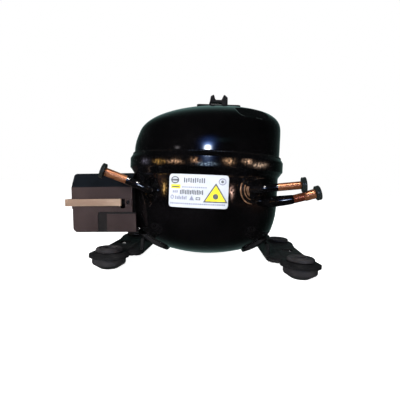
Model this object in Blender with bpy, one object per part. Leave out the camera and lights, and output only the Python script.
"""Hermetic reciprocating compressor for a household refrigerator, with its terminal cover and rubber feet.

Lengths below are in millimetres and are turned into metres when an object is made. Here X is counted from the
middle of the four feet; make() then moves everything so that the origin is the middle of the bounding box on
the floor. +Z is up, the label faces -Y and the pair of connection tubes points to +X. Every object is one
piece. A piece that moves has its origin on the axis of its joint.
"""

import math

import bmesh
import bpy
from mathutils import Matrix, Vector

MM = 0.001
TO_BOX_MIDDLE = (15.2, 0.0, 0.0)  # from the middle of the feet to the middle of the bounding box
GAP = 0.3  # between neighbouring pieces
SEGMENTS = 40  # round the shell

# Shell
SHELL_X = -2.7  # middle of the oval shell, to the left of the middle of the feet
OVAL = 0.868  # width front to back over width left to right
WALL = 3.0
BELT_A, BELT_LOW, BELT_TOP = 76.5, 89.8, 105.2
BODY_A = 72.3
BOWL_FLOOR = 9.2
LID_A, LID_LOW, LID_TOP = 72.6, 91.0, 156.0

# Feet
FOOT_X, FOOT_Y = 84.0, 50.0
FOOT_R, FOOT_CAP_R, FOOT_TOP, CAP_TOP = 14.6, 11.8, 11.3, 18.2
PLATE_LOW, PLATE_HIGH = 11.6, 14.4
BOLT_HOLE_R = 4.2

# Pump and motor
AXIS_X = -6.0  # crankshaft axis
THROW = 6.0  # crank radius, half the stroke
BORE_R, BORE_Z = 10.5, 118.0
CORE_LOW, CORE_TOP = 50.0, 84.0
ROTOR_R, STATOR_R = 27.4, 28.2
BOLT_DX, BOLT_DY = 34.0, 34.0
DECK_LOW, DECK_TOP = 94.0, 100.0
FACE_X = 34.2  # machined end of the cylinder

# Terminal side
TILT = math.radians(3.0)  # the cover hangs a little low at its outer end
TILT_AT = (-70.0, 0.0, 57.0)
COVER_LEFT, COVER_Y, COVER_LOW, COVER_TOP = -125.3, 38.0, 30.5, 85.4
COVER_END, COVER_END_LOW = -68.0, -65.0  # open edge of the walls above and below the side grooves
COVER_WALL = 2.2
PIVOT_X, PIVOT_Z = -71.6, 58.2

# Connection tubes: centre lines from inside the shell to the open end
SUCTION = ((34.8, -47.9, 74.0), (40.1, -55.9, 74.4), (47.6, -58.6, 75.6), (59.6, -58.2, 77.3),
           (78.0, -60.4, 79.8))
DISCHARGE = ((48.5, -37.5, 63.6), (55.5, -44.6, 64.2), (61.5, -48.2, 65.3), (75.0, -50.0, 67.8),
             (92.6, -51.0, 73.2))
PROCESS = ((-43.7, -45.8, 70.0), (-49.3, -54.2, 70.8), (-57.8, -56.4, 74.4), (-68.6, -56.6, 78.4),
           (-85.9, -60.0, 84.6))


def clear_scene():
    for item in list(bpy.data.objects):
        bpy.data.objects.remove(item, do_unlink=True)


def material(name, colour, roughness, metallic):
    made = bpy.data.materials.new(name)
    made.use_nodes = True
    shader = made.node_tree.nodes["Principled BSDF"]
    shader.inputs["Base Color"].default_value = (*colour, 1.0)
    shader.inputs["Roughness"].default_value = roughness
    shader.inputs["Metallic"].default_value = metallic
    return made


def make(name, bm, origin=(0.0, 0.0, 0.0), look=None, tilted=False, smooth=35.0):
    """An object from a mesh in millimetres, with its own origin."""
    if tilted:
        turn = Matrix.Rotation(-TILT, 4, "Y")
        shift = Matrix.Translation(Vector(TILT_AT))
        bmesh.ops.transform(bm, matrix=shift @ turn @ shift.inverted(), verts=bm.verts)
    bmesh.ops.translate(bm, vec=-Vector(origin), verts=bm.verts)
    bmesh.ops.scale(bm, vec=(MM, MM, MM), verts=bm.verts)
    bmesh.ops.recalc_face_normals(bm, faces=bm.faces)
    mesh = bpy.data.meshes.new(name)
    bm.to_mesh(mesh)
    bm.free()
    mesh.shade_smooth()
    mesh.set_sharp_from_angle(angle=math.radians(smooth))
    obj = bpy.data.objects.new(name, mesh)
    obj.location = (Vector(origin) + Vector(TO_BOX_MIDDLE)) * MM
    bpy.context.scene.collection.objects.link(obj)
    if look:
        mesh.materials.append(material(name, *look))
    return obj


def boolean(obj, other, operation):
    step = obj.modifiers.new(operation.title() + " " + other.name, "BOOLEAN")
    step.operation = operation
    step.solver = "EXACT"
    step.object = other
    other.hide_render = True
    other.display_type = "WIRE"
    return obj


def cut(obj, *cutters):
    for cutter in cutters:
        boolean(obj, cutter, "DIFFERENCE")
    return obj


def join(obj, *others):
    for other in others:
        boolean(obj, other, "UNION")
    return obj


def loft(rings, closed=False):
    """Skin over rings of points. A ring of one point is a pole. With closed, the last ring meets the first."""
    bm = bmesh.new()
    rows = [[bm.verts.new(p) for p in ring] for ring in rings]
    pairs = list(zip(rows, rows[1:]))
    if closed:
        pairs.append((rows[-1], rows[0]))
    for low, high in pairs:
        count = max(len(low), len(high))
        for i in range(count):
            j = (i + 1) % count
            a = low[i % len(low)], low[j % len(low)]
            b = high[i % len(high)], high[j % len(high)]
            corners = list(dict.fromkeys((a[0], a[1], b[1], b[0])))
            bm.faces.new(corners)
    if not closed:
        for ring in (rows[0], rows[-1]):
            if len(ring) > 2:
                bm.faces.new(ring)
    return bm


def oval_ring(x, y, a, b, z, n):
    if a == 0:
        return [(x, y, z)]
    return [(x + a * math.cos(t), y + b * math.sin(t), z) for t in (math.tau * i / n for i in range(n))]


def turned(profile, n, centre=(0.0, 0.0), oval=1.0, hollow=False):
    """A turned solid from (radius, height) points. Hollow joins the last point to the first."""
    return loft([oval_ring(centre[0], centre[1], r, r * oval, z, n) for r, z in profile], hollow)


def frame_along(direction):
    return Vector(direction).normalized().to_track_quat("Z", "Y").to_matrix().to_4x4()


def turned_along(profile, n, start, direction, hollow=False):
    """A turned solid whose axis runs from start along direction."""
    bm = turned(profile, n, hollow=hollow)
    bmesh.ops.transform(bm, matrix=Matrix.Translation(Vector(start)) @ frame_along(direction), verts=bm.verts)
    return bm


def rod(start, end, radius, n=16):
    length = (Vector(end) - Vector(start)).length
    return turned_along([(radius, 0.0), (radius, length)], n, start, Vector(end) - Vector(start))


def box(x0, x1, y0, y1, z0, z1, bevel=0.0, segments=1):
    bm = bmesh.new()
    bmesh.ops.create_cube(bm, size=1.0)
    bmesh.ops.scale(bm, vec=(x1 - x0, y1 - y0, z1 - z0), verts=bm.verts)
    bmesh.ops.translate(bm, vec=((x0 + x1) / 2, (y0 + y1) / 2, (z0 + z1) / 2), verts=bm.verts)
    if bevel:
        bmesh.ops.bevel(bm, geom=bm.edges[:], offset=bevel, segments=segments, affect="EDGES", profile=0.5)
    return bm


def prism(outline, low, high, axis="Z"):
    """An outline pulled straight along an axis: XY along Z, XZ along Y, YZ along X."""
    place = {
        "Z": lambda u, v, w: (u, v, w),
        "Y": lambda u, v, w: (u, w, v),
        "X": lambda u, v, w: (w, u, v),
    }[axis]
    return loft([[place(u, v, w) for u, v in outline] for w in (low, high)])


def arc(cx, cy, radius, start, end, steps):
    """Points on an arc, angles in degrees."""
    turns = (math.radians(start + (end - start) * i / steps) for i in range(steps + 1))
    return [(cx + radius * math.cos(t), cy + radius * math.sin(t)) for t in turns]


def rounded(x0, x1, y0, y1, radius, steps=4):
    corners = ((x1, y0, -90, -1, 1), (x1, y1, 0, -1, -1), (x0, y1, 90, 1, -1), (x0, y0, 180, 1, 1))
    points = []
    for x, y, start, sx, sy in corners:
        points += arc(x + sx * radius, y + sy * radius, radius, start, start + 90, steps)
    return points


def smooth_path(points, per_piece):
    """Points on a Catmull-Rom curve through the given points, and straight at both ends."""
    pts = [Vector(p) for p in points]
    pts = [2 * pts[0] - pts[1]] + pts + [2 * pts[-1] - pts[-2]]
    line = []
    for a, b, c, d in zip(pts, pts[1:], pts[2:], pts[3:]):
        for i in range(per_piece):
            t = i / per_piece
            line.append(
                0.5 * (2 * b + (c - a) * t + (2 * a - 5 * b + 4 * c - d) * t * t + (3 * b - a - 3 * c + d) * t**3)
            )
    return line + [pts[-2]]


def sweep_rings(line, radii, n):
    """Round sections carried along a line without twist."""
    ahead = (line[1] - line[0]).normalized()
    side = ahead.orthogonal().normalized()
    rings = []
    for i, (p, radius) in enumerate(zip(line, radii)):
        step = (line[min(i + 1, len(line) - 1)] - line[max(i - 1, 0)]).normalized()
        side = (side - side.dot(step) * step).normalized()
        other = step.cross(side)
        turns = [math.tau * k / n for k in range(n)]
        rings.append([p + radius * (math.cos(t) * side + math.sin(t) * other) for t in turns])
    return rings


def pipe(points, outer, inner, n=12, per_piece=2, bell=0.0):
    """A bent tube, open at both ends, with an optional wider end."""
    line = smooth_path(points, per_piece)
    last = len(line) - per_piece
    wide = [outer + (bell if i > last else 0.0) for i in range(len(line))]
    hole = [inner + (bell if i > last else 0.0) for i in range(len(line))]
    return loft(sweep_rings(line, wide, n) + sweep_rings(line, hole, n)[::-1], closed=True)


# ---------------------------------------------------------------- shell


def bowl_outside(grow=0.0):
    """Outer side of the lower shell from its floor to its top edge, as (half width, height)."""
    rows = [(0, BOWL_FLOOR), (20, 10.4), (38, 14.4), (50, 18.7), (60, 25.0), (66, 31.4), (69, 38.6), (71.4, 49)]
    rows += [(BODY_A, 60), (BODY_A, 84.6), (73.4, 86.6), (BELT_A, BELT_LOW), (BELT_A, 103.0), (74.8, BELT_TOP)]
    if not grow:
        return rows
    grown = []
    for i, (a, z) in enumerate(rows):
        before, after = rows[max(i - 1, 0)], rows[min(i + 1, len(rows) - 1)]
        along = Vector((after[0] - before[0], after[1] - before[1])).normalized()
        grown.append((a + grow * along.y if a else 0.0, z - grow * along.x))
    return grown


def bowl_solid(name, grow):
    rows = bowl_outside(grow)
    return make(name, turned(rows + [(0, rows[-1][1])], SEGMENTS, (SHELL_X, 0), OVAL))


def spring_places():
    return [(AXIS_X + sx * BOLT_DX, sy * BOLT_DY) for sx in (-1, 1) for sy in (-1, 1)]


def tube_hole(name, points, radius):
    way = (Vector(points[1]) - Vector(points[0])).normalized()
    return make(name, rod(Vector(points[0]) - 12 * way, Vector(points[0]) + 11.5 * way, radius, 20))


def lower_shell():
    inside = [(73.2, BELT_TOP), (73.2, 90.5), (70.4, 87.6), (69.3, 84), (69.3, 60), (68.4, 49.6), (66.1, 39)]
    inside += [(63.4, 33.2), (58, 27.4), (48.8, 21.5), (37.4, 17.3), (20, 13.4), (0, BOWL_FLOOR + WALL)]
    bm = turned(bowl_outside() + inside, SEGMENTS, (SHELL_X, 0), OVAL)
    obj = make("lower_shell", bm, look=((0.012, 0.013, 0.014), 0.18, 0.1))
    for i, (x, y) in enumerate(spring_places()):
        join(obj, make(f"spring_stud_{i}", turned([(3.6, 21.5 if x > 0 else 24.2), (3.6, 33.0), (2.8, 34.5)], 10, (x, y))))
    cut(obj, tube_hole("hole_suction", SUCTION, 3.6), tube_hole("hole_discharge", DISCHARGE, 4.1))
    cut(obj, tube_hole("hole_process", PROCESS, 4.0))
    hole = make("hole_header", turned_along([(13.3, 0), (13.3, 24)], 24, (-86, 0, 57), (1, 0, 0)), tilted=True)
    return cut(obj, hole)


def lid_rows():
    """Lid sections as (height, left, right, half depth): round and sloping on the left, tall on the right."""
    left, right = SHELL_X - LID_A, SHELL_X + LID_A
    return [
        (LID_LOW, left, right, 63.0), (106, left, right, 63.0), (114, -74.7, 70.0, 62.7), (121, -72.9, 70.0, 61.6),
        (129, -69.8, 70.0, 59.3), (134, -66.2, 69.8, 56.6), (138, -61.6, 69.0, 53.0), (141.5, -56.0, 67.2, 48.8),
        (144.5, -49.6, 64.4, 44.0), (147.5, -41.6, 60.0, 38.0), (150, -33.0, 53.0, 31.5), (152.3, -23.0, 42.0, 23.5),
        (154.2, -13.5, 29.5, 15.5), (155.5, -4.0, 16.5, 7.5), (LID_TOP, 5.0, 5.0, 0.0),
    ]


def lid_ring(row, n=SEGMENTS):
    z, left, right, b = row
    return oval_ring((left + right) / 2, 0, (right - left) / 2, b, z, n)


def lid_inside():
    """The lid sections moved in by the wall, square to the mean profile."""
    rows, inner = lid_rows(), []
    half = [(right - left) / 4 + b / 2 for _, left, right, b in rows]
    for i, (z, left, right, b) in enumerate(rows):
        low, high = max(i - 1, 0), min(i + 1, len(rows) - 1)
        along = Vector((half[high] - half[low], rows[high][0] - rows[low][0])).normalized()
        move, drop = WALL * along.y, WALL * -along.x
        if b == 0.0:
            inner.append((z - WALL, left, right, 0.0))
        else:
            inner.append((z if i == 0 else z - drop, left + move, right - move, b - move))
    return inner


def upper_shell():
    rings = [lid_ring(row) for row in lid_rows()[::-1]] + [lid_ring(row) for row in lid_inside()]
    obj = make("upper_shell", loft(rings), look=((0.012, 0.013, 0.014), 0.16, 0.1))
    dish = box(-15, 15, -13, 13, 0, 12, 1.2)
    place = Matrix.Translation((40.0, -22.0, 148.0)) @ Matrix.Rotation(math.radians(19), 4, "X")
    bmesh.ops.transform(dish, matrix=place @ Matrix.Rotation(math.radians(11), 4, "Y"), verts=dish.verts)
    return cut(obj, make("lid_dish", dish))


def top_strip():
    bm = prism(rounded(-14.6, 29.4, -5.0, 9.0, 3.0, 3), LID_TOP + 0.3, LID_TOP + 2.1)
    return make("top_strip", bm, look=((0.03, 0.03, 0.032), 0.35, 0.3))


def top_clip():
    base = LID_TOP + 2.4
    outline = [(-2.6, base), (16.6, base), (16.3, 166.0), (13.2, 168.6), (12.2, 168.4), (10.2, 163.6)]
    outline += [(4.7, 163.5), (3.6, 164.4), (2.8, 167.4), (2.0, 168.8), (-0.9, 167.0), (-1.6, base + 3.6)]
    obj = make("top_clip", prism(outline, -1.5, 5.5, "Y"), look=((0.03, 0.03, 0.032), 0.35, 0.3))
    return cut(obj, make("clip_window", prism(rounded(-0.6, 10.6, base + 0.6, base + 2.5, 0.6, 2), -4, 8, "Y")))


def foot_plate(name, side):
    """A pressed plate: two lobes round the rubber feet and a saddle that hugs the bowl."""
    edge = [(57.4, -35.0), (58.4, -40.6), (61.6, -44.0), (65.6, -45.0)]
    edge += arc(FOOT_X, -FOOT_Y, 17.4, 166, 355, 9) + [(97.6, -26.0), (97.0, 0.0)]
    outline = [(side * x, y) for x, y in edge] + [(side * x, -y) for x, y in edge[-2::-1]]
    look = ((0.02, 0.021, 0.023), 0.28, 0.2)
    obj = make(name, prism(outline, PLATE_LOW, PLATE_HIGH), look=look)
    web = make(name + "_web", box(*sorted((side * 57.6, side * 60.6)), -32, 32, 12.0, 24.0))
    saddle = bowl_solid(name + "_saddle", 3.1)
    region = make(name + "_region", box(*sorted((side * 37.0, side * 72.0)), -32.01, 32.01, 4.0, 28.0))
    boolean(saddle, region, "INTERSECT")
    join(obj, web, saddle)
    cut(obj, bowl_solid(name + "_bowl", GAP))
    for i, y in enumerate((-FOOT_Y, FOOT_Y)):
        cut(obj, make(f"{name}_hole_{i}", turned([(8.0, 8), (8.0, 20)], 24, (side * FOOT_X, y))))
    slot = prism(rounded(*sorted((side * 78.5, side * 89.5)), -6.0, 6.0, 2.6, 3), 8, 20)
    return cut(obj, make(name + "_slot", slot))


def rubber_foot(name, x, y):
    rows = [(BOLT_HOLE_R, 0.0), (7.8, 0.0), (14.2, 4.2), (FOOT_R, 5.4), (FOOT_R, 10.8), (14.0, FOOT_TOP)]
    rows += [(7.6, FOOT_TOP), (7.6, 14.7), (FOOT_CAP_R, 14.7), (FOOT_CAP_R, 17.0), (10.6, CAP_TOP)]
    rows += [(BOLT_HOLE_R, CAP_TOP)]
    return make(name, turned(rows, 18, (x, y), hollow=True), look=((0.02, 0.02, 0.021), 0.75, 0.0))


def rating_label():
    """A thin label bent round the front of the body."""
    low, high, left, right = 57.4, 85.2, -31.2, 18.8
    rings = []
    for grow in (0.3, 0.7):
        a, b = BODY_A + grow, BODY_A * OVAL + grow
        for z in (low, high):
            xs = [left + (right - left) * i / 16 for i in range(17)]
            rings.append([(x, -b * math.sqrt(1 - ((x - SHELL_X) / a) ** 2), z) for x in xs])
    bm = bmesh.new()
    rows = [[bm.verts.new(p) for p in ring] for ring in (rings[0], rings[1], rings[3], rings[2])]
    for i, row in enumerate(rows):
        after = rows[(i + 1) % 4]
        for j in range(16):
            bm.faces.new((row[j], row[j + 1], after[j + 1], after[j]))
    bm.faces.new([row[0] for row in rows])
    bm.faces.new([row[-1] for row in rows])
    return make("rating_label", bm, look=((0.8, 0.8, 0.78), 0.45, 0.0))


# ---------------------------------------------------------------- connection tubes

COPPER = ((0.62, 0.27, 0.12), 0.3, 1.0)
RUBBER = ((0.035, 0.03, 0.028), 0.7, 0.0)


def suction_tube():
    return make("suction_tube", pipe(SUCTION, 3.3, 2.5), look=COPPER)


def discharge_tube():
    return make("discharge_tube", pipe(DISCHARGE, 3.7, 2.7, bell=0.5), look=COPPER)


def process_tube():
    return make("process_tube", pipe(PROCESS, 3.6, 2.6), look=COPPER)


def suction_boss():
    """The stepped collar that is welded round the suction tube."""
    way = Vector(SUCTION[1]) - Vector(SUCTION[0])
    start = Vector(SUCTION[0]) - 1.5 * way.normalized()
    rows = [(3.7, 0), (12.4, 0), (12.4, 8.2), (11.6, 9.0), (9.4, 8.6), (8.6, 9.4), (6.6, 10.6), (3.7, 11.4)]
    obj = make("suction_boss", turned_along(rows, 28, start, way, hollow=True), look=((0.015, 0.016, 0.017), 0.2, 0.1))
    return cut(obj, bowl_solid("boss_seat", GAP))


def tube_plug(name, points, hole, rim, disc_r, thick):
    """A rubber transport plug: a stem inside the tube and a round head with a groove round the tube's rim."""
    end, way = Vector(points[-1]), (Vector(points[-1]) - Vector(points[-2])).normalized()
    rows = [(0, -7.0), (hole - 1.2, -7.0), (hole - GAP, -5.6), (hole - GAP, 2.1), (rim + GAP, 2.1)]
    rows += [(rim + GAP, 0.4), (disc_r - 0.5, 0.4), (disc_r, 0.9), (disc_r, thick - 0.3)]
    rows += [(disc_r - 0.8, thick + 0.4), (0, thick + 0.4)]
    return make(name, turned_along(rows, 16, end, way), origin=tuple(end), look=RUBBER)


# ---------------------------------------------------------------- terminal side


def along_x(rows, n, x, y, z, hollow=False):
    return turned_along(rows, n, (x, y, z), (1, 0, 0), hollow)


PINS = ((0.0, 62.0), (-5.0, 53.4), (5.0, 53.4))


def terminal_header():
    obj = make("terminal_header", along_x([(13.0, 0), (13.0, 6.0)], 24, -77.4, 0, 57), tilted=True,
               look=((0.45, 0.45, 0.47), 0.35, 1.0))
    for i, (y, z) in enumerate(PINS):
        cut(obj, make(f"header_hole_{i}", rod((-80, y, z), (-68, y, z), 1.5, 12), tilted=True))
    return obj


def terminal_pin(name, y, z):
    rows = [(0.6, 0), (1.1, 1.2), (1.1, 24.0)]
    return make(name, along_x(rows, 12, -91.0, y, z), tilted=True, look=((0.72, 0.6, 0.3), 0.3, 1.0))


def terminal_bracket():
    """The rectangular fence on the shell that guides the cover and holds the starter."""
    obj = make("terminal_bracket", box(-87, -58, -25, 25, 40, 78, 1.0), tilted=True,
               look=((0.03, 0.03, 0.033), 0.35, 0.3))
    cut(obj, make("bracket_inside", box(-90, -50, -23, 23, 42, 76), tilted=True))
    return cut(obj, bowl_solid("bracket_seat", GAP))


def ptc_starter():
    obj = make("ptc_starter", box(-108, -88.5, -14, 12.5, 48, 68, 1.2), tilted=True,
               look=((0.10, 0.10, 0.11), 0.5, 0.0))
    for i, (y, z) in enumerate(PINS):
        cut(obj, make(f"starter_hole_{i}", rod((-93, y, z), (-84, y, z), 1.5, 12), tilted=True))
    return obj


def overload_protector():
    rows = [(8.4, 0), (9.6, 1.2), (9.6, 9.0), (7.0, 9.6), (4.6, 11.5), (0, 11.5)]
    return make("overload_protector", along_x([(0, 0)] + rows, 20, -107.5, 23.4, 58), tilted=True,
                look=((0.02, 0.02, 0.02), 0.4, 0.0))


def terminal_cover():
    """A plastic box, open to the shell, with sloping shoulders and slots for the retaining bail."""
    y, low, top = COVER_Y, COVER_LOW, COVER_TOP
    outer = [(-y, low), (y, low), (y, 72.5), (y - 8, top), (8 - y, top), (-y, 72.5)]
    w = COVER_WALL
    inner = [(w - y, low + w), (y - w, low + w), (y - w, 71.5), (y - 9, top - w), (9 - y, top - w), (w - y, 71.5)]
    obj = make("terminal_cover", prism(outer, COVER_LEFT, COVER_END_LOW, "X"), tilted=True,
               look=((0.11, 0.10, 0.095), 0.6, 0.0), origin=(COVER_LEFT, 0, 57))
    step = [(-130, 20), (-112, 20)] + arc(-119.7, 35.0, 4.5, 268, 182, 4) + [(-124.2, 52.6), (-130, 52.6)]
    cut(obj, make("cover_step", prism(step, -50, 50, "Y"), tilted=True))
    nose = [(-130, 90), (-130, 82.0), (COVER_LEFT, 82.0), (-122.4, top), (-122.4, 90)]
    cut(obj, make("cover_nose", prism(nose, -50, 50, "Y"), tilted=True))
    cut(obj, make("cover_inside", prism(inner, -120.4, -40, "X"), tilted=True))
    cut(obj, make("cover_groove", box(-100, -50, -40, -37.2, 47.4, 49.4), tilted=True))
    cut(obj, make("cover_strip", box(-100.6, -92, -40, -37.4, 20, 47.41), tilted=True))
    cut(obj, make("cover_notch", box(COVER_END, -40, -50, 50, 48.4, 95), tilted=True))
    for i, side in enumerate((-1, 1)):
        wall = sorted((side * 33, side * 42))
        cut(obj, make(f"bail_slot_{i}", box(-79.3, -74.8, *wall, 52.6, 61.3), tilted=True))
        ends = (PIVOT_X, side * 33, PIVOT_Z), (PIVOT_X, side * 42, PIVOT_Z)
        cut(obj, make(f"bail_hole_{i}", rod(*ends, 1.8, 14), tilted=True))
    return cut(obj, bowl_solid("cover_seat", 1.0))


def tilted_point(x, z):
    dx, dz = x - TILT_AT[0], z - TILT_AT[2]
    c, s = math.cos(TILT), math.sin(TILT)
    return TILT_AT[0] + c * dx - s * dz, 0.0, TILT_AT[2] + s * dx + c * dz


def cover_bail():
    """A bent metal strap round the outer end of the cover. Its tongues reach through slots to pivots in the walls."""
    out_x, y, t, r = -131.6, 39.6, 1.2, 2.6
    outer = arc(out_x + r, -y + r, r, 270, 180, 4) + arc(out_x + r, y - r, r, 180, 90, 4)
    inner = arc(out_x + r, y - r, r - t, 90, 180, 4) + arc(out_x + r, r - y, r - t, 180, 270, 4)
    outline = [(-78.6, -y)] + outer + [(-78.6, y), (-78.6, y - t)] + inner + [(-78.6, t - y)]
    obj = make("cover_bail", prism(outline, 54.9, 61.5), tilted=True, origin=tilted_point(PIVOT_X, PIVOT_Z),
               look=((0.62, 0.47, 0.28), 0.35, 0.8))
    for i, s in enumerate((-1, 1)):
        tongue = [(-79.4, s * 39.6), (-77.7, s * 39.6), (-77.7, s * 35.4), (-69.9, s * 35.4), (-69.9, s * 34.2)]
        tongue += [(-78.9, s * 34.2), (-78.9, s * 38.4), (-79.4, s * 38.4)]
        join(obj, make(f"bail_tongue_{i}", prism(tongue, 56.7, 59.7), tilted=True))
        pin = rod((PIVOT_X, s * 34.8, PIVOT_Z), (PIVOT_X, s * 37.2, PIVOT_Z), 1.45, 14)
        join(obj, make(f"bail_pin_{i}", pin, tilted=True))
    return obj


# ---------------------------------------------------------------- motor


def stator_outline():
    return rounded(AXIS_X - 47, AXIS_X + 47, -44, 44, 24, 5)


def slot_angles():
    return [math.tau * (i + 0.5) / 8 for i in range(8)]


def radial_box(r0, r1, half, z0, z1, angle):
    bm = box(r0, r1, -half, half, z0, z1)
    place = Matrix.Translation((AXIS_X, 0, 0)) @ Matrix.Rotation(angle, 4, "Z")
    bmesh.ops.transform(bm, matrix=place, verts=bm.verts)
    return bm


def stator_core():
    obj = make("stator_core", prism(stator_outline(), CORE_LOW, CORE_TOP), look=((0.32, 0.32, 0.34), 0.45, 0.9))
    cut(obj, make("stator_bore", turned([(STATOR_R, 40), (STATOR_R, 90)], 32, (AXIS_X, 0))))
    for i, angle in enumerate(slot_angles()):
        cut(obj, make(f"stator_slot_{i}", radial_box(31.0, 42.0, 4.5, 40, 90, angle)))
    for i, (x, y) in enumerate(spring_places()):
        cut(obj, make(f"stator_hole_{i}", turned([(2.9, 40), (2.9, 90)], 8, (x, y))))
    return obj


def stator_winding():
    rows = [(31.0, 40.4), (35, 39), (41.2, 42), (41.2, 49.6), (31.0, 49.6)]
    look = ((0.55, 0.22, 0.08), 0.4, 0.6)
    obj = make("stator_winding", turned(rows, 24, (AXIS_X, 0), hollow=True), look=look)
    rows = [(31.0, 84.4), (41.2, 84.4), (41.2, 91), (35, 93.2), (31.0, 92)]
    for i, angle in enumerate(slot_angles()):
        join(obj, make(f"coil_side_{i}", radial_box(32, 41, 4.0, 48, 86, angle)))
    return join(obj, make("coil_top", turned(rows, 24, (AXIS_X, 0), hollow=True)))


def stator_bolt(name, x, y):
    head = [(0, 46.0), (4.6, 46.0), (4.6, 49.6), (2.4, 49.6), (2.4, 96.4), (0, 96.4)]
    return make(name, turned(head, 8, (x, y)), look=((0.5, 0.5, 0.52), 0.35, 1.0))


def spring(name, x, y):
    """A coil spring with its ends a little closed up."""
    turns, per_turn, low, high, coil_r, wire = 3.5, 10, 31.2, 44.6, 5.0, 0.8
    line = []
    for i in range(int(turns * per_turn) + 1):
        t = i / (turns * per_turn)
        rise = t - 0.10 * math.sin(math.tau * t) / math.tau * 2
        angle = math.tau * turns * t
        line.append(Vector((x + coil_r * math.cos(angle), y + coil_r * math.sin(angle), low + (high - low) * rise)))
    return make(name, loft(sweep_rings(line, [wire] * len(line), 5)), look=((0.4, 0.4, 0.42), 0.3, 1.0))


# ---------------------------------------------------------------- pump


def crankcase():
    """Cast block: deck, main bearing, four legs and the cylinder."""
    half_x, half_y = BOLT_DX + 6.5, BOLT_DY + 6.5
    deck = prism(rounded(AXIS_X - half_x, AXIS_X + half_x, -half_y, half_y, 7.0, 4), DECK_LOW, DECK_TOP)
    obj = make("crankcase", deck, look=((0.16, 0.165, 0.17), 0.7, 0.6))
    join(obj, make("main_bearing", turned([(11.8, 74), (11.8, 94.5)], 24, (AXIS_X, 0))))
    join(obj, make("cylinder_block", box(12.0, FACE_X, -17, 17, 99.0, 135.0, 1.2)))
    for i, (x, y) in enumerate(spring_places()):
        join(obj, make(f"leg_{i}", turned([(6.4, CORE_TOP + GAP), (6.4, 95)], 10, (x, y))))
        cut(obj, make(f"leg_hole_{i}", turned([(2.7, 80), (2.7, 97)], 8, (x, y))))
    cut(obj, make("shaft_bore", turned([(8.0, 70), (8.0, 110)], 24, (AXIS_X, 0))))
    cut(obj, make("web_space", turned([(17.0, DECK_TOP), (17.0, 108.5)], 24, (AXIS_X, 0))))
    cut(obj, make("bore", along_x([(BORE_R, 0), (BORE_R, 40)], 28, 5, 0, BORE_Z)))
    for i, (y, z) in enumerate(head_bolt_places()):
        cut(obj, make(f"block_hole_{i}", rod((20, y, z), (40, y, z), 2.3, 8)))
    return obj


def head_bolt_places():
    return [(sy * 13.2, BORE_Z + sz * 13.2) for sy in (-1, 1) for sz in (-1, 1)]


def head_stack_piece(name, x0, x1, look, extra=(), bevel=0.0):
    obj = make(name, box(x0, x1, -17, 17, 101, 135, bevel), look=look)
    for i, (y, z) in enumerate(head_bolt_places()):
        cut(obj, make(f"{name}_hole_{i}", rod((x0 - 3, y, z), (x1 + 3, y, z), 2.3, 10)))
    return cut(obj, *extra)


STEEL = ((0.5, 0.51, 0.53), 0.3, 1.0)


def suction_reed():
    """A thin steel sheet with the flap cut free on three sides."""
    slit = [(-4.0, 108.4), (4.0, 108.4), (4.0, 126.0), (3.2, 126.0), (3.2, 109.2), (-3.2, 109.2), (-3.2, 126.0)]
    slit += [(-4.0, 126.0)]
    hole = make("reed_window", rod((30, 0, 104.6), (40, 0, 104.6), 1.9, 14))
    return head_stack_piece("suction_reed", 34.5, 34.9, STEEL, (make("reed_slit", prism(slit, 30, 40, "X")), hole))


def valve_plate():
    low = make("port_low", rod((30, 0, 112.0), (42, 0, 112.0), 2.2, 14))
    high = make("port_high", rod((30, 0, 122.6), (42, 0, 122.6), 2.2, 14))
    return head_stack_piece("valve_plate", 35.2, 38.2, STEEL, (low, high))


def head_gasket():
    window = make("gasket_window", prism(rounded(-11, 11, 107, 129, 2, 2), 30, 50, "X"))
    return head_stack_piece("head_gasket", 38.5, 39.1, ((0.25, 0.24, 0.2), 0.8, 0.0), (window,))


def discharge_reed():
    bm = prism(rounded(-2.8, 2.8, 108.6, 126.5, 2.2, 3), 38.5, 38.9, "X")
    return make("discharge_reed", bm, origin=(38.7, 0, 126.0), look=STEEL)


def cylinder_head():
    plenum = make("plenum", prism(rounded(-11, 11, 107, 129, 2, 2), 38, 46.6, "X"))
    port = make("head_port", rod((43, -22, 110.5), (43, -5, 110.5), 1.6, 12))
    look = ((0.55, 0.56, 0.57), 0.5, 0.9)
    return head_stack_piece("cylinder_head", 39.4, 50.0, look, (plenum, port), 1.2)


def head_bolt(name, y, z):
    rows = [(0, 0), (1.9, 0), (1.9, 29.4), (3.5, 29.4), (3.5, 32.6), (0, 32.6)]
    return make(name, along_x(rows, 8, 20.9, y, z), look=((0.5, 0.5, 0.52), 0.35, 1.0))


def suction_muffler():
    obj = make("suction_muffler", box(13, 40, 19, 41, 104, 132, 3.0, 2), look=((0.7, 0.68, 0.62), 0.5, 0.0))
    return join(obj, make("muffler_neck", box(36, 49, 17.5, 25, 112, 125, 1.0)))


def discharge_line():
    """The bent line from the cylinder head to the discharge tube: it flexes as the pump moves on its springs."""
    points = ((47.6, -36.6, 63.6), (47.2, -33.6, 65.6), (48.4, -27.5, 73), (49.6, -24.0, 86), (48.2, -24.4, 98),
              (45.2, -24.0, 106), (43.4, -21.4, 109.8), (43.0, -17.5, 110.5))
    line = smooth_path(points, 2)
    return make("discharge_line", loft(sweep_rings(line, [1.7] * len(line), 8)), look=COPPER)


# ---------------------------------------------------------------- turning and sliding pieces


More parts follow.
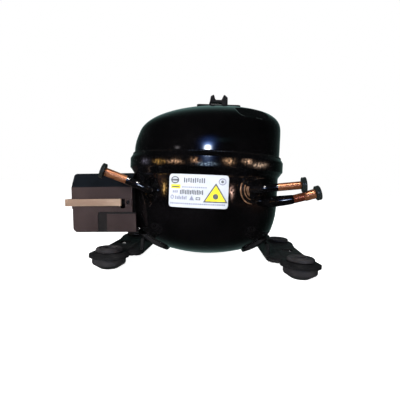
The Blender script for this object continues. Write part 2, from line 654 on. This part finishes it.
def crankshaft():
    rows = [(0, 48.3), (7.0, 48.3), (7.7, 49.2), (7.7, DECK_TOP + GAP), (15.6, DECK_TOP + GAP), (15.6, 104.6)]
    rows += [(0, 104.6)]
    obj = make("crankshaft", turned(rows, 28, (AXIS_X, 0)), origin=(AXIS_X, 0, 80), look=((0.3, 0.3, 0.31), 0.35, 0.9))
    pin_x = AXIS_X + THROW
    join(obj, make("crank_pin", turned([(5.0, 103), (5.0, 123.6), (4.4, 124.4)], 20, (pin_x, 0))))
    return cut(obj, make("plug_hole", turned([(1.7, 106), (1.7, 130)], 12, (AXIS_X + THROW / 2, 0))))


def oil_gallery_plug():
    rows = [(0, 106.4), (1.35, 106.4), (1.35, 124.0), (0, 124.0)]
    x = AXIS_X + THROW / 2
    return make("oil_gallery_plug", turned(rows, 12, (x, 0)), origin=(x, 0, 115), look=((0.5, 0.5, 0.52), 0.35, 1.0))


def rotor_core():
    rows = [(8.0, 52), (ROTOR_R, 52), (ROTOR_R, 82), (12.6, 82), (12.6, 73.4), (8.0, 73.4)]
    obj = make("rotor_core", turned(rows, 28, (AXIS_X, 0), hollow=True), origin=(AXIS_X, 0, 67),
               look=((0.3, 0.3, 0.32), 0.5, 0.9))
    for i in range(8):
        cut(obj, make(f"bar_hole_{i}", bar(i, 2.3, 48, 86)))
    return obj


def bar(i, radius, low, high):
    t = math.tau * (i + 0.37) / 8
    return turned([(radius, low), (radius, high)], 6, (AXIS_X + 22 * math.cos(t), 22 * math.sin(t)))


def rotor_cage():
    low = turned([(17, 47.2), (26.6, 47.2), (26.6, 51.7), (17, 51.7)], 20, (AXIS_X, 0), hollow=True)
    obj = make("rotor_cage", low, origin=(AXIS_X, 0, 67), look=((0.7, 0.71, 0.72), 0.4, 1.0))
    for i in range(8):
        join(obj, make(f"bar_{i}", bar(i, 2.0, 49, 84)))
    high = turned([(17, 82.3), (26.6, 82.3), (26.6, 87.2), (17, 87.2)], 20, (AXIS_X, 0), hollow=True)
    return join(obj, make("cage_top", high))


def counterweight():
    outline = [(AXIS_X + x, y) for x, y in arc(0, 0, 25.5, 100, 260, 10) + arc(0, 0, 14, 260, 100, 8)]
    return make("counterweight", prism(outline, 42.2, 46.9), origin=(AXIS_X, 0, 45), look=((0.6, 0.5, 0.3), 0.4, 1.0))


def oil_pickup():
    rows = [(7.2, 48.0), (7.2, 42), (3.4, 23.5), (2.2, 23.0), (2.2, 24.0), (6.0, 42.2), (6.0, 48.0)]
    return make("oil_pickup", turned(rows[::-1], 18, (AXIS_X, 0), hollow=True), origin=(AXIS_X, 0, 35),
                look=((0.5, 0.5, 0.52), 0.4, 1.0))


def slide_x():
    return AXIS_X + THROW


def along_y(rows, n, x, y, z, hollow=False):
    return turned_along(rows, n, (x, y, z), (0, 1, 0), hollow)


def slider_block():
    obj = make("slider_block", along_y([(7.0, 0), (7.6, 0.6), (7.6, 12.4), (7.0, 13)], 28, slide_x(), -6.5, BORE_Z),
               origin=(slide_x(), 0, BORE_Z), look=((0.45, 0.4, 0.3), 0.4, 0.8))
    return cut(obj, make("pin_bore", turned([(5.3, 105), (5.3, 130)], 20, (slide_x(), 0))))


def slide_tube():
    rows = [(8.0, 0), (10.2, 0), (10.2, 34), (8.0, 34)]
    obj = make("slide_tube", along_y(rows, 28, slide_x(), -17, BORE_Z, True), origin=(slide_x(), 0, BORE_Z), look=STEEL)
    return cut(obj, make("tube_slot", box(slide_x() - 5.7, slide_x() + 5.7, -11.8, 11.8, 105, 114)))


def piston():
    rows = [(0, 0), (10.25, 0), (10.25, 26.4), (9.8, 26.9), (0, 26.9)]
    obj = make("piston", along_x(rows, 28, slide_x() + 7.0, 0, BORE_Z), origin=(slide_x(), 0, BORE_Z),
               look=((0.4, 0.4, 0.42), 0.3, 0.9))
    return cut(obj, make("piston_seat", along_y([(10.6, 0), (10.6, 40)], 28, slide_x(), -20, BORE_Z)))


# ---------------------------------------------------------------- everything


def build_shell():
    lower_shell()
    upper_shell()
    top_strip()
    top_clip()
    foot_plate("left_foot_plate", -1)
    foot_plate("right_foot_plate", 1)
    for side, x in (("left", -FOOT_X), ("right", FOOT_X)):
        rubber_foot(f"{side}_front_foot", x, -FOOT_Y)
        rubber_foot(f"{side}_rear_foot", x, FOOT_Y)
    rating_label()
    suction_tube()
    suction_boss()
    discharge_tube()
    process_tube()
    tube_plug("suction_plug", SUCTION, 2.5, 3.3, 6.4, 3.8)
    tube_plug("discharge_plug", DISCHARGE, 2.7, 4.2, 6.3, 4.0)
    tube_plug("process_plug", PROCESS, 2.6, 3.6, 6.6, 3.4)


def build_terminal_side():
    terminal_header()
    for name, (y, z) in zip(("upper_terminal_pin", "front_terminal_pin", "rear_terminal_pin"), PINS):
        terminal_pin(name, y, z)
    terminal_bracket()
    ptc_starter()
    overload_protector()
    terminal_cover()
    cover_bail()


def build_pump():
    stator_core()
    stator_winding()
    for i, (x, y) in enumerate(spring_places(), 1):
        stator_bolt(f"stator_bolt_{i}", x, y)
        spring(f"suspension_spring_{i}", x, y)
    crankcase()
    suction_reed()
    valve_plate()
    discharge_reed()
    head_gasket()
    cylinder_head()
    for i, (y, z) in enumerate(head_bolt_places(), 1):
        head_bolt(f"head_bolt_{i}", y, z)
    suction_muffler()
    discharge_line()
    crankshaft()
    oil_gallery_plug()
    rotor_core()
    rotor_cage()
    counterweight()
    oil_pickup()
    slider_block()
    slide_tube()
    piston()


clear_scene()
build_shell()
build_terminal_side()
build_pump()
